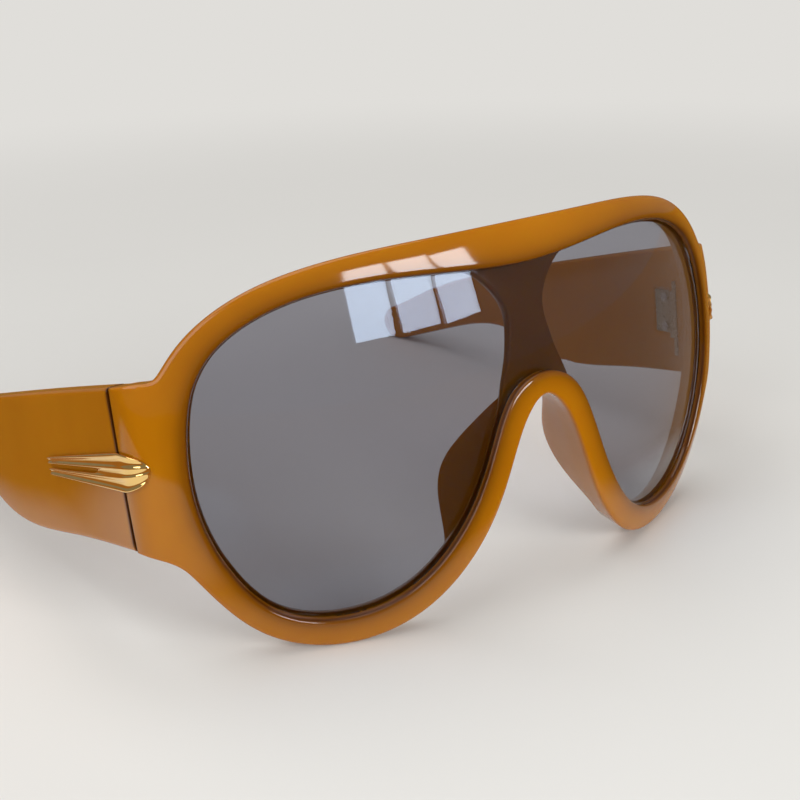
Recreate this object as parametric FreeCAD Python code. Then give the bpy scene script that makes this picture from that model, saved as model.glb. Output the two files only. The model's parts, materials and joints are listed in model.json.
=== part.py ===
import FreeCAD, Part
import math
import os

# Oversized shield sunglasses. Millimetres, with +Z up and +Y towards the ears.
# Left and right are the wearer's, so the left side is +X.
Vec = FreeCAD.Vector

# Front moulding
front_radius = 115.5        # sphere that the front face follows
rim_depth = 6.2             # rim, front to back
rim_edge_round = 1.7        # rounding of the rim's outer front edge
window_edge_round = 1.1     # rounding of the front edge around the lens
recline = 4.0               # degrees that the front leans back on a table

# Window that shows the lens: half outline from the top centre round to the nose arch,
# as (x as a share of the end pieces' half width, z, width of rim outside this point)
window_shape = [
    (0.0, 32.9, 7.7),
    (0.2603, 34.0, 6.3),
    (0.5, 34.1, 4.9),
    (0.6904, 30.8, 4.6),
    (0.8233, 23.7, 4.9),
    (0.8836, 11.5, 6.5),
    (0.8836, -2.9, 6.8),
    (0.8205, -16.4, 5.0),
    (0.7123, -25.9, 5.1),
    (0.5712, -28.8, 6.2),
    (0.4192, -26.2, 6.2),
    (0.3041, -18.7, 5.75),
    (0.2164, -8.2, 5.2),
    (0.1562, 2.8, 5.1),
    (0.0904, 10.5, 5.35),
    (0.0, 12.8, 4.5),
]
nose_start = 10             # first window point that belongs to the nose arch
nose_draft = 13.0           # degrees that the nose arch widens towards the back

# Rear bridge behind the lens: half widths from the nose arch up to the top bar,
# as (x as a share of the end pieces' half width, z)
bridge_shape = [(0.1315, 8.6), (0.0849, 15.5), (0.0575, 24.0), (0.0904, 30.6)]

# Nose pads: rear edge seen from the side, as (y, z)
pad_edge = [(5.0, 12.0), (12.0, 5.5), (17.2, -2.0), (18.6, -9.0), (16.5, -16.0), (10.0, -24.0)]
pad_wall = 2.6

# End pieces
end_half_width = 73.0       # centre plane to the outer face, where the bend from the front ends
end_length = 2.0            # from the bend to the hinge seam
end_top = 20.4
end_bottom = -10.6
end_thickness = 4.6
outer_bend = 6.0            # bend from the front face to the end piece
inner_bend = 3.0
top_corner = 5.0            # rounding between the end piece's top edge and the rim
bottom_corner = 8.0
splay = 6.0                 # degrees that the temples open outwards
seam_lean = 3.7             # degrees that the seam leans back from the front's upright
seam_gap = 0.4

# Lens
lens_recess = 1.7           # front face of the rim to the lens
lens_thickness = 2.0
lens_overlap = 0.8          # lens edge held inside the rim
lens_clearance = 0.08
rear_lip = 0.3              # rear wall of the lens groove inside the window outline

# Temples, in side view from the seam: (distance back, height)
temple_thickness = 4.2
temple_top = [(25.0, 16.5), (50.0, 12.3), (80.0, 7.0), (105.0, 1.2)]
temple_bottom = [(104.0, -12.4), (88.0, -9.2), (77.0, -9.4), (66.0, -12.8), (55.0, -15.3), (25.0, -13.1)]
temple_straight = 50.0      # straight length before the temple curves in
temple_curve_radius = 208.0
tip_setback = 123.0         # seam to the centre of the round tip
tip_radius = 5.5
tip_top_slope = -20.0       # degrees
temple_edge_round = 1.2

# Hinge
hinge_height = 4.0          # middle of the hinge above the front pole
knuckle_radius = 1.5
knuckle_height = 2.0
knuckle_gap = 0.08
knuckle_count = 5
knuckle_standoff = 0.45     # temple's inner face to the knuckles
axis_setback = 0.75         # seam to the hinge axis
leaf_thickness = 1.0
leaf_seat = 2.0             # seam to the seat of the front leaf
front_leaf_width = 4.0
temple_leaf_length = 10.0
leaf_clearance = 0.1
leaf_margin = 1.5           # leaf outside its screws

# Screws
pivot_radius = 0.7
pivot_clearance = 0.03
pivot_head_radius = 1.25
pivot_head_height = 0.8
leaf_screw_radius = 0.6
leaf_screw_head_radius = 1.05
leaf_screw_head_height = 0.5
leaf_screw_length = 3.4     # in the front
screw_cover = 1.0           # plastic left outside the temple leaf's screws
leaf_screw_spacing = 7.4    # hinge middle to each leaf screw
temple_screw_setback = 6.5  # seam to the temple leaf's screws
temple_screw_spacing = 3.6  # hinge middle to each temple leaf screw
screw_clearance = 0.03
slot_width = 0.35
slot_depth = 0.3

# Gold trim plaque across the seam
trim_thickness = 1.0
trim_groove_radius = 0.8    # grooves along the two tails
trim_groove_depth = 0.4
trim_standoff = 0.2         # clearance over the temple and end piece
trim_reach_front = 7.6      # ahead of the seam
trim_tail = 31.0            # behind the seam
trim_head_height = 7.4
trim_tail_height = 3.6
trim_height_at_seam = 5.0   # middle of the plaque at the seam
trim_slope = -7.8           # degrees, in line with the temple
trim_split = 22.0           # length of the slot between the two tails
trim_split_width = 0.9
post_radius = 0.7
post_depth = 2.2
post_spacing = 3.4
post_setback = 2.4          # ahead of the seam

# Room that cutting and trimming solids reach past the piece they shape
beyond = 60.0
margin = beyond / 15
touching = 0.01             # faces and edges closer than this lie on each other


def spline(points, start=None, end=None, marks=None):
    """Smooth curve through points, with given end directions and parameters."""
    given = {"Points": points}
    if start is not None:
        given.update(InitialTangent=start, FinalTangent=end)
    if marks is not None:
        given.update(Parameters=marks)
    curve = Part.BSplineCurve()
    curve.interpolate(**given)
    return curve


def spacing(points):
    """Distance of each point from the first, measured from point to point."""
    marks = [0.0]
    for near, far in zip(points, points[1:]):
        marks.append(marks[-1] + near.distanceToPoint(far))
    return marks


def mirrored(shape):
    """The same shape on the other side of the centre plane."""
    return shape.mirror(Vec(0, 0, 0), Vec(1, 0, 0))


def window_normals():
    """Directions out of the window at each of its points."""
    curve = spline([Vec(x, 0, z) for x, z, _ in window], Vec(1, 0, 0), Vec(-1, 0, 0))
    normals = []
    for x, z, _ in window:
        along = curve.tangent(curve.parameter(Vec(x, 0, z)))[0]
        normals.append(Vec(-along.z, 0, along.x))
    return normals


window = [(share * end_half_width, z, width) for share, z, width in window_shape]
bridge = [(share * end_half_width, z) for share, z in bridge_shape]
normals = window_normals()
draft = math.tan(math.radians(nose_draft))
lens_middle = lens_recess + lens_thickness / 2


def sphere_depth(x, z):
    """Distance of the front face behind its pole."""
    return front_radius - math.sqrt(front_radius ** 2 - x ** 2 - z ** 2)


def towards_centre(x, z, y):
    """Point of the front face carried to depth y, straight towards the sphere's centre."""
    scale = (front_radius - y) / (front_radius - sphere_depth(x, z))
    return Vec(x * scale, y, z * scale)


def window_points(offset):
    """Points of the window's outline on the front face, moved outwards, as (x, z)."""
    return [(x + n.x * offset, z + n.z * offset) for (x, z, _), n in zip(window, normals)]


def half_wire(points, marks=None):
    """Closed wire from half of it."""
    half = spline(points, Vec(1, 0, 0), Vec(-1, 0, 0), marks).toShape()
    return Part.Wire([half, mirrored(half)])


def between(near, far):
    """Solid with straight walls between two closed wires in parallel planes."""
    faces = [Part.Face(near), Part.Face(far)]
    faces += [Part.makeRuledSurface(a, b) for a, b in zip(near.Edges, far.Edges)]
    sewn = Part.Compound(faces)
    sewn.sewShape()
    solid = Part.Solid(Part.Shell(sewn.Faces))
    if solid.Volume < 0:
        solid.reverse()
    return solid


def window_solid(offset):
    """Solid inside the window's outline, with walls square to the front face."""
    depths = (front_reach, back_reach)
    rows = [[towards_centre(x, z, y) for x, z in window_points(offset)] for y in depths]
    return between(*[half_wire(row) for row in rows])


def ball(depth):
    """Ball that lies this far behind the front face."""
    return Part.makeSphere(front_radius - depth, Vec(0, front_radius, 0))


def nose_share(index):
    """How much of the nose draft a window point takes, growing over the first three points."""
    return min(max((index - nose_start + 1) / 3, 0.0), 1.0)


def rim_points(y, extra=0.0):
    """Points of the rim's outer edge at depth y, with the nose arch widening to the back."""
    points = []
    for index, ((x, z, width), normal) in enumerate(zip(window, normals)):
        base = Vec(x, y, z) + normal * (width + extra)
        square = towards_centre(base.x, base.z, y)
        drafted = base - normal * draft * (y - sphere_depth(base.x, base.z))
        share = nose_share(index)
        points.append(square * (1 - share) + drafted * share)
    return points


# Left end piece seen from above: directions out of it and back along it, and its seam
splay_angle = math.radians(splay)
end_out = Vec(math.cos(splay_angle), -math.sin(splay_angle), 0)
end_along = Vec(math.sin(splay_angle), math.cos(splay_angle), 0)
bend_x = end_half_width - end_out.x * outer_bend
bend_y = front_radius - math.sqrt((front_radius - outer_bend) ** 2 - bend_x ** 2)
seam = Vec(bend_x, bend_y, 0) + end_out * outer_bend + end_along * end_length
front_reach = -margin
back_reach = seam.y + margin

# Frame of the left temple: X outwards, Y along the temple, Z along the hinge axis
temple_frame = FreeCAD.Placement(
    seam,
    FreeCAD.Rotation(Vec(1, 0, 0), -seam_lean).multiply(FreeCAD.Rotation(Vec(0, 0, 1), -splay)),
)
axis_x = -temple_thickness - knuckle_standoff - knuckle_radius
axis_y = axis_setback
temple_root = seam_gap / 2
stack_height = knuckle_count * knuckle_height + (knuckle_count - 1) * knuckle_gap
stack_bottom = hinge_height - stack_height / 2
stack_top = hinge_height + stack_height / 2


def in_front(shape):
    """Place a solid built in the temple frame into the front's frame."""
    placed = shape.copy()
    placed.Placement = temple_frame.multiply(placed.Placement)
    return placed


def block(x0, x1, y0, y1, z0, z1):
    """Box between two corners."""
    return Part.makeBox(x1 - x0, y1 - y0, z1 - z0, Vec(x0, y0, z0))


def cylinder(radius, start, direction, length):
    """Round bar from start."""
    return Part.makeCylinder(radius, length, start, direction)


def bend_points(arc_radius, bend, inset):
    """Bend between the front arc and the end piece's face, seen from above.

    Returns the bend's start, middle and end, and a point far along the face.
    """
    reach = arc_radius - bend
    to_face = seam.dot(end_out) - inset - bend
    turn = math.asin((to_face + front_radius * math.sin(splay_angle)) / reach) - splay_angle
    outward = Vec(math.sin(turn), -math.cos(turn), 0)
    centre = Vec(0, front_radius, 0) + outward * reach
    middle = (outward + end_out).normalize()
    end = centre + end_out * bend
    return centre + outward * bend, centre + middle * bend, end, end + end_along * beyond / 2


def plan_edges(arc_radius, bend, inset):
    """Edges of one wall of the front, seen from above, from the right end to the left."""
    start, middle, end, far = bend_points(arc_radius, bend, inset)
    flip = lambda p: Vec(-p.x, p.y, p.z)
    pole = Vec(0, front_radius - arc_radius, 0)
    return [
        Part.LineSegment(flip(far), flip(end)).toShape(),
        Part.Arc(flip(end), flip(middle), flip(start)).toShape(),
        Part.Arc(flip(start), pole, start).toShape(),
        Part.Arc(start, middle, end).toShape(),
        Part.LineSegment(end, far).toShape(),
    ]


def swept_shell(outer, inner):
    """Shell between two plan outlines, swept up and down on the front sphere's centre."""
    caps = []
    for near, far in ((outer[0], inner[0]), (outer[-1], inner[-1])):
        ends = sorted((v.Point for e in (near, far) for v in e.Vertexes), key=lambda p: p.y)
        caps.append(Part.LineSegment(ends[-1], ends[-2]).toShape())
    profile = Part.Face(Part.Wire(Part.__sortEdges__(outer + inner + caps)))
    half_sweep = math.degrees(math.atan2(beyond, front_radius))
    centre = Vec(0, front_radius, 0)
    profile.rotate(centre, Vec(1, 0, 0), -half_sweep)
    return profile.revolve(centre, Vec(1, 0, 0), 2 * half_sweep)


def nose_row(y, extra):
    """Points along the nose arch at depth y, from the left side to the right."""
    half = rim_points(y, extra)[nose_start - 1:]
    return half + [Vec(-p.x, p.y, p.z) for p in reversed(half[:-1])]


def nose_band():
    """Wall of the nose pads, over the arch from one side to the other."""
    marks = spacing(nose_row(rim_depth, 0.0))
    wires = []
    for y in (0.0, beyond / 2):
        edges = []
        for extra in (-pad_wall, pad_wall):
            edges.append(spline(nose_row(y, extra), marks=marks).toShape())
        first, second = edges
        edges.append(Part.LineSegment(first.Vertexes[0].Point, second.Vertexes[0].Point).toShape())
        edges.append(Part.LineSegment(first.Vertexes[-1].Point, second.Vertexes[-1].Point).toShape())
        wires.append(Part.Wire(Part.__sortEdges__(edges)))
    band = Part.makeLoft(wires, True, True)
    rear = spline([Vec(-beyond, y, z) for y, z in pad_edge]).toShape()
    top, bottom = rear.Vertexes[0].Point, rear.Vertexes[-1].Point
    inside = [Vec(-beyond, 0, bottom.z), Vec(-beyond, 0, top.z)]
    corners = [bottom] + inside + [top]
    side = Part.Wire([rear] + [Part.LineSegment(a, b).toShape() for a, b in zip(corners, corners[1:])])
    side_solid = Part.Face(side).extrude(Vec(2 * beyond, 0, 0))
    return band.common(side_solid).common(ball(rim_depth / 2))


def rim_outline():
    """Solid that trims the front to its outline, with the end pieces' tabs on both sides."""
    marks = spacing(rim_points(rim_depth))
    solid = between(*[half_wire(rim_points(y), marks) for y in (front_reach, back_reach)])
    side = end_half_width + beyond
    tab_end = back_reach + margin
    tab = block(end_half_width / 2, side, front_reach, tab_end, end_bottom, end_top)
    solid = solid.fuse([tab, mirrored(tab)])
    corners = {end_top: top_corner, end_bottom: bottom_corner}
    for height, radius in corners.items():
        edges = []
        for edge in solid.Edges:
            box = edge.BoundBox
            level = abs(box.ZMin - height) < touching and abs(box.ZMax - height) < touching
            inside = max(-box.XMin, box.XMax) < side - touching
            if level and inside and box.YMin < seam.y and box.YMax > seam.y:
                edges.append(edge)
        solid = solid.makeFillet(radius, edges)
    return solid


def on_wall(face, wall):
    """Whether a face lies on a wall swept from this plan outline."""
    u0, u1, v0, v1 = face.ParameterRange
    point = face.valueAt((u0 + u1) / 2, (v0 + v1) / 2)
    reach = math.hypot(point.y - front_radius, point.z)
    flat = Part.Vertex(Vec(point.x, front_radius - reach, 0))
    return flat.distToShape(wall)[0] < touching


def border(shape, wall):
    """Edges where the faces on a wall meet the outline, without the cut ends far behind."""
    found = []
    for edge in shape.Edges:
        faces = shape.ancestorsOfType(edge, Part.Face)
        walls = [on_wall(face, wall) for face in faces]
        if len(faces) == 2 and walls.count(True) == 1:
            other = faces[walls.index(False)]
            if other.CenterOfMass.y < back_reach:
                found.append(edge)
    return found


def by_window(edge):
    """Whether an edge runs along the window, seen from the front."""
    middle = edge.valueAt((edge.FirstParameter + edge.LastParameter) / 2)
    outline = half_wire([Vec(x, 0, z) for x, z in window_points(0.0)])
    return Part.Vertex(Vec(middle.x, 0, middle.z)).distToShape(outline)[0] < 2 * window_edge_round


def behind_seam():
    """Everything behind the left hinge seam."""
    space = block(-end_half_width / 2, beyond, -seam_gap / 2, beyond, -beyond, beyond)
    return in_front(space)


def lens_solid(margin):
    """Lens, grown on all sides by a margin."""
    shell = ball(lens_recess - margin).cut(ball(lens_recess + lens_thickness + margin))
    return window_solid(lens_overlap + margin).common(shell)


def eye_opening():
    """Opening behind the left half of the lens."""
    wires = []
    for y in (0.0, back_reach):
        row = [towards_centre(x, z, y) for x, z in window_points(-rear_lip)[1:-2] + bridge]
        curve = Part.BSplineCurve()
        curve.interpolate(Points=row, PeriodicFlag=True)
        wires.append(Part.Wire([curve.toShape()]))
    return between(*wires)


def front_blank():
    """Rim with its window, end pieces and nose pads, before the hinges are cut in."""
    outer = plan_edges(front_radius, outer_bend, 0.0)
    inner = plan_edges(front_radius - rim_depth, inner_bend, end_thickness)
    outline = rim_outline()
    blank = swept_shell(outer, inner).common(outline).Solids[0]
    wall = Part.Compound(outer)
    blank = blank.makeFillet(rim_edge_round, border(blank, wall))
    blank = blank.cut(window_solid(0.0).cut(ball(lens_middle)))
    blank = blank.makeFillet(window_edge_round, [e for e in border(blank, wall) if by_window(e)])
    eye = eye_opening().common(ball(lens_middle))
    blank = blank.cut([eye, mirrored(eye)])
    space = behind_seam()
    return blank.fuse(nose_band().common(outline)).cut([space, mirrored(space)])


# Front leaf: a plate across the end piece's inner corner, with knuckles at its outer side
front_leaf_x1 = axis_x + knuckle_radius
front_leaf_x0 = front_leaf_x1 - front_leaf_width
front_leaf_half = leaf_screw_spacing + leaf_margin
front_screw_x = (front_leaf_x0 + front_leaf_x1) / 2
temple_leaf_half = max(stack_height / 2, temple_screw_spacing + leaf_margin)


def leaf_boss():
    """Pad of plastic that carries the left front leaf."""
    wall = leaf_margin / 2
    return in_front(block(
        front_leaf_x0 - wall, -end_thickness + wall,
        -leaf_seat - leaf_screw_length, -leaf_seat,
        hinge_height - front_leaf_half - wall, hinge_height + front_leaf_half + wall,
    ))


def leaf_pocket():
    """Space cut into the left end piece for the front leaf and knuckles."""
    return in_front(block(
        front_leaf_x0 - beyond, front_leaf_x1 + leaf_clearance,
        -leaf_seat, beyond,
        hinge_height - front_leaf_half - leaf_clearance, hinge_height + front_leaf_half + leaf_clearance,
    ))


def front_screw_starts(y):
    """Middles of the two screws of the front leaf, at depth y."""
    heights = (hinge_height - leaf_screw_spacing, hinge_height + leaf_screw_spacing)
    return [Vec(front_screw_x, y, z) for z in heights]


def temple_screw_starts(x):
    """Middles of the two screws of the temple leaf, at offset x."""
    heights = (hinge_height - temple_screw_spacing, hinge_height + temple_screw_spacing)
    return [Vec(x, temple_screw_setback, z) for z in heights]


def post_starts(x):
    """Middles of the two posts behind the plaque, at offset x."""
    slope = math.tan(math.radians(trim_slope))
    middle = trim_height_at_seam - post_setback * slope
    return [Vec(x, -post_setback, middle + side * post_spacing / 2) for side in (-1, 1)]


def front_frame():
    """Front moulding with its window, lens groove, eye openings and hinge seats."""
    frame = front_blank()
    boss = leaf_boss()
    frame = frame.fuse([boss, mirrored(boss)])
    left = [leaf_pocket()]
    for start in front_screw_starts(-leaf_seat):
        reach = leaf_screw_length + screw_clearance
        left.append(in_front(cylinder(leaf_screw_radius + screw_clearance, start, Vec(0, -1, 0), reach)))
    for start in post_starts(trim_standoff):
        reach = post_depth + trim_standoff + screw_clearance
        left.append(in_front(cylinder(post_radius + screw_clearance, start, Vec(-1, 0, 0), reach)))
    return frame.cut([lens_solid(lens_clearance)] + left + [mirrored(shape) for shape in left])


def knuckle(index):
    """One knuckle of the left hinge, counted from the bottom."""
    bottom = stack_bottom + index * (knuckle_height + knuckle_gap)
    return cylinder(knuckle_radius, Vec(axis_x, axis_y, bottom), Vec(0, 0, 1), knuckle_height)


def pivot_hole():
    """Hole through all knuckles."""
    start = Vec(axis_x, axis_y, stack_bottom - beyond / 2)
    return cylinder(pivot_radius + pivot_clearance, start, Vec(0, 0, 1), beyond)


def front_hinge_leaf():
    """Plate with the first, middle and last knuckles."""
    plate_face = -leaf_seat + leaf_thickness
    leaf = block(
        front_leaf_x0, front_leaf_x1, -leaf_seat, plate_face,
        hinge_height - front_leaf_half, hinge_height + front_leaf_half,
    )
    for index in range(0, knuckle_count, 2):
        ring = knuckle(index)
        box = ring.BoundBox
        web = block(box.XMin, box.XMax, plate_face - leaf_thickness / 2, axis_y, box.ZMin, box.ZMax)
        leaf = leaf.fuse([ring, web])
    leaf = leaf.cut(pivot_hole())
    for start in front_screw_starts(-leaf_seat):
        leaf = leaf.cut(cylinder(leaf_screw_radius + screw_clearance, start, Vec(0, 1, 0), leaf_thickness))
    return in_front(leaf.removeSplitter())


def temple_hinge_leaf():
    """Plate let into the temple, with the other two knuckles."""
    inner = -temple_thickness
    leaf = block(
        inner, inner + leaf_thickness, seam_gap, temple_leaf_length,
        hinge_height - temple_leaf_half, hinge_height + temple_leaf_half,
    )
    for index in range(1, knuckle_count, 2):
        ring = knuckle(index)
        box = ring.BoundBox
        web = block(axis_x, inner + leaf_thickness / 2, seam_gap, box.YMax, box.ZMin, box.ZMax)
        leaf = leaf.fuse([ring, web])
    leaf = leaf.cut(pivot_hole())
    for start in temple_screw_starts(inner):
        leaf = leaf.cut(cylinder(leaf_screw_radius + screw_clearance, start, Vec(1, 0, 0), leaf_thickness))
    return in_front(leaf.removeSplitter())


def slotted(screw, start, out):
    """Cut a driver slot into a screw head whose top is at start."""
    across = Vec(out.z, out.x, out.y)
    third = out.cross(across)
    reach = pivot_head_radius * 2
    corner = start - third * slot_width / 2 - across * reach - out * slot_depth
    floor = Part.makePolygon([
        corner, corner + third * slot_width, corner + third * slot_width + across * reach * 2,
        corner + across * reach * 2, corner,
    ])
    return screw.cut(Part.Face(floor).extrude(out * (slot_depth * 2)))


def hinge_screw():
    """Pivot screw with its head on the top knuckle."""
    up = Vec(0, 0, 1)
    shank = cylinder(pivot_radius, Vec(axis_x, axis_y, stack_bottom), up, stack_height)
    head = cylinder(pivot_head_radius, Vec(axis_x, axis_y, stack_top), up, pivot_head_height)
    top = Vec(axis_x, axis_y, stack_top + pivot_head_height)
    return in_front(slotted(shank.fuse(head), top, up))


def leaf_screws(starts, out, length):
    """Two screws whose heads lie on a leaf, with their shanks going away from out."""
    screws = []
    for start in starts:
        shank = cylinder(leaf_screw_radius, start, out * -1, length)
        head = cylinder(leaf_screw_head_radius, start, out, leaf_screw_head_height)
        screw = slotted(shank.fuse(head), start + out * leaf_screw_head_height, out)
        screws.append(screw)
    return in_front(Part.Compound(screws))


def front_leaf_screws():
    """Screws through the front leaf into the end piece."""
    face = -leaf_seat + leaf_thickness
    return leaf_screws(front_screw_starts(face), Vec(0, 1, 0), leaf_thickness + leaf_screw_length)


def temple_leaf_screws():
    """Screws through the temple leaf into the temple."""
    starts = temple_screw_starts(-temple_thickness)
    return leaf_screws(starts, Vec(-1, 0, 0), temple_thickness - screw_cover)


def temple_band():
    """Temple's wall seen from above, straight and then curving in, without its outline."""
    back = tip_setback + 2 * tip_radius
    turn = math.asin((back - temple_straight) / temple_curve_radius)
    centre = Vec(-temple_curve_radius, temple_straight, 0)
    walls = []
    for inset in (0.0, temple_thickness):
        radius = temple_curve_radius - inset
        arc = [centre + Vec(math.cos(a), math.sin(a), 0) * radius for a in (0, turn / 2, turn)]
        walls.append(Part.LineSegment(Vec(-inset, 0, 0), arc[0]).toShape())
        walls.append(Part.Arc(*arc).toShape())
    ends = [
        Part.LineSegment(walls[0].Vertexes[0].Point, walls[2].Vertexes[0].Point).toShape(),
        Part.LineSegment(walls[1].Vertexes[-1].Point, walls[3].Vertexes[-1].Point).toShape(),
    ]
    plan = Part.Face(Part.Wire(Part.__sortEdges__(walls + ends)))
    plan.translate(Vec(0, 0, -beyond))
    return plan.extrude(Vec(0, 0, 2 * beyond))


def temple_side(table_height):
    """Temple's outline seen from the side as a solid, with its round tip on the table."""
    run = 1.0
    rise = table_height(run) - table_height(0.0)
    floor = Vec(0, run, rise).normalize()
    up = Vec(0, -floor.z, floor.y)
    slope = math.radians(tip_top_slope)
    over = Vec(0, math.cos(slope), math.sin(slope))
    middle = Vec(0, tip_setback, table_height(tip_setback)) + up * tip_radius
    low = middle - up * tip_radius
    high = middle + Vec(0, -over.z, over.y) * tip_radius
    end = middle + (over + floor).normalize() * tip_radius
    top = [Vec(0, temple_root, end_top)] + [Vec(0, y, z) for y, z in temple_top] + [high]
    bottom = [low] + [Vec(0, y, z) for y, z in temple_bottom] + [Vec(0, temple_root, end_bottom)]
    first = (top[1] - top[0]).normalize()
    last = (bottom[-1] - bottom[-2]).normalize()
    side = Part.Face(Part.Wire([
        spline(top, first, over).toShape(),
        Part.Arc(high, end, low).toShape(),
        spline(bottom, floor * -1, last).toShape(),
        Part.LineSegment(bottom[-1], top[0]).toShape(),
    ]))
    side.translate(Vec(-beyond, 0, 0))
    return side.extrude(Vec(2 * beyond, 0, 0))


def middle_of(face):
    """Middle of a face's own coordinates."""
    u0, u1, v0, v1 = face.ParameterRange
    return (u0 + u1) / 2, (v0 + v1) / 2


def looks_sideways(face):
    """Whether a face looks out of the temple's side, or in."""
    normal = face.normalAt(*middle_of(face))
    return abs(normal.x) > max(abs(normal.y), abs(normal.z))


def temple(table_height):
    """Left temple with its rounded edges, its seat for the hinge leaf and its screw holes."""
    arm = temple_band().common(temple_side(table_height)).Solids[0]
    long_edges = []
    for edge in arm.Edges:
        sides = [looks_sideways(face) for face in arm.ancestorsOfType(edge, Part.Face)]
        at_root = edge.BoundBox.YMax < temple_root + touching
        if sides.count(True) == 1 and not at_root:
            long_edges.append(edge)
    arm = arm.makeFillet(temple_edge_round, long_edges)
    half = temple_leaf_half + leaf_clearance
    cuts = [block(
        -temple_thickness - leaf_thickness, -temple_thickness + leaf_thickness,
        -beyond, temple_leaf_length + leaf_clearance, hinge_height - half, hinge_height + half,
    )]
    for start in temple_screw_starts(-temple_thickness):
        reach = temple_thickness - screw_cover + screw_clearance
        cuts.append(cylinder(leaf_screw_radius + screw_clearance, start, Vec(1, 0, 0), reach))
    return in_front(arm.cut(cuts))


def trim_outline():
    """Side outline of the plaque as a solid across the temple: round head and tapering tail."""
    head = trim_head_height / 2
    tail = trim_tail_height / 2
    corners = [Vec(0, 0, head), Vec(0, trim_tail, tail), Vec(0, trim_tail, -tail), Vec(0, 0, -head)]
    edges = [Part.LineSegment(a, b).toShape() for a, b in zip(corners, corners[1:])]
    edges.append(Part.Arc(corners[-1], Vec(0, -trim_reach_front, 0), corners[0]).toShape())
    face = Part.Face(Part.Wire(edges))
    face.translate(Vec(-beyond / 4, 0, 0))
    return along_trim(face.extrude(Vec(beyond / 2, 0, 0)))


def along_trim(shape):
    """Turn a solid made level onto the plaque's sloping middle line."""
    turned = shape.copy()
    turned.rotate(Vec(0, 0, 0), Vec(1, 0, 0), trim_slope)
    turned.translate(Vec(0, 0, trim_height_at_seam))
    return turned


def trim_plaque():
    """Left plaque: a plate round the bend with two grooves, a split tail and two posts."""
    near = trim_standoff
    far = trim_standoff + trim_thickness
    skins = [plan_edges(front_radius + d, outer_bend + d, -d) for d in (near, far)]
    plate = swept_shell(skins[1], skins[0]).common(in_front(trim_outline())).Solids[0]
    tail_gap = trim_tail_height / 4
    head_gap = trim_head_height / 4
    cuts = []
    for side in (-1, 1):
        start = Vec(far + trim_groove_radius - trim_groove_depth, 0, side * head_gap)
        along = Vec(0, trim_tail, side * (tail_gap - head_gap))
        cuts.append(along_trim(cylinder(trim_groove_radius, start, along, 2 * along.Length)))
    slot = along_trim(block(
        -beyond / 4, beyond / 4, trim_tail - trim_split, trim_tail + beyond,
        -trim_split_width / 2, trim_split_width / 2,
    ))
    cuts.append(slot)
    posts = []
    for start in post_starts(near + trim_thickness / 2):
        reach = post_depth + near + trim_thickness / 2
        posts.append(in_front(cylinder(post_radius, start, Vec(-1, 0, 0), reach)))
    return plate.cut([in_front(shape) for shape in cuts]).fuse(posts).removeSplitter()


def leaned(shape):
    """Turn a solid from the front's upright to how it stands on a table."""
    turned = shape.copy()
    turned.rotate(Vec(0, 0, 0), Vec(1, 0, 0), -recline)
    return turned


def table_under(floor):
    """Height of the table under the temple's middle, by the distance behind the seam."""
    lean = FreeCAD.Rotation(Vec(1, 0, 0), -recline)
    drop = math.sqrt(temple_curve_radius ** 2 - (tip_setback - temple_straight) ** 2)
    tip_x = drop - temple_curve_radius - temple_thickness / 2

    def height(y):
        base = lean.multVec(temple_frame.multVec(Vec(tip_x, y, 0))).z
        unit = lean.multVec(temple_frame.Rotation.multVec(Vec(0, 0, 1))).z
        return (floor - base) / unit

    return height


def tight_box(shape):
    """Bounding box of the real surface."""
    return shape.optimalBoundingBox(True, False)


def build():
    """All pieces in the front's frame, by node name."""
    front = front_frame()
    table = table_under(tight_box(leaned(front)).ZMin)
    pieces = {"front_frame": front, "shield_lens": lens_solid(0.0)}
    left = {
        "temple": temple(table),
        "front_hinge_leaf": front_hinge_leaf(),
        "temple_hinge_leaf": temple_hinge_leaf(),
        "hinge_screw": hinge_screw(),
        "front_leaf_screws": front_leaf_screws(),
        "temple_leaf_screws": temple_leaf_screws(),
        "trim_plaque": trim_plaque(),
    }
    for name, shape in left.items():
        pieces[name + "_left"] = shape
        pieces[name + "_right"] = mirrored(shape)
    return pieces


def main():
    """Stand the sunglasses on the table, centred over the origin, and write every piece."""
    pieces = {name: leaned(shape) for name, shape in build().items()}
    boxes = [tight_box(shape) for shape in pieces.values()]
    low = min(box.ZMin for box in boxes)
    middle = (min(box.YMin for box in boxes) + max(box.YMax for box in boxes)) / 2
    shift = Vec(0, -middle, -low)
    os.makedirs("parts", exist_ok=True)
    for name, shape in pieces.items():
        shape.translate(shift)
        shape.exportStep("parts/" + name + ".step")
        print(name, shape.isValid(), len(shape.Solids), round(shape.Volume, 1))
    lean = FreeCAD.Rotation(Vec(1, 0, 0), -recline)
    point = lean.multVec(temple_frame.multVec(Vec(axis_x, axis_y, hinge_height))) + shift
    direction = lean.multVec(temple_frame.Rotation.multVec(Vec(0, 0, 1)))
    print("left hinge at", point, "along", direction, "shift", shift)


main()
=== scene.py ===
import json
import math
from dataclasses import dataclass, replace

import bmesh
import bpy
import numpy as np
from bpy.props import FloatProperty, FloatVectorProperty, PointerProperty
from bpy.types import Operator, Panel, PropertyGroup
from mathutils import Matrix, Vector
from mathutils.geometry import interpolate_bezier


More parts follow.
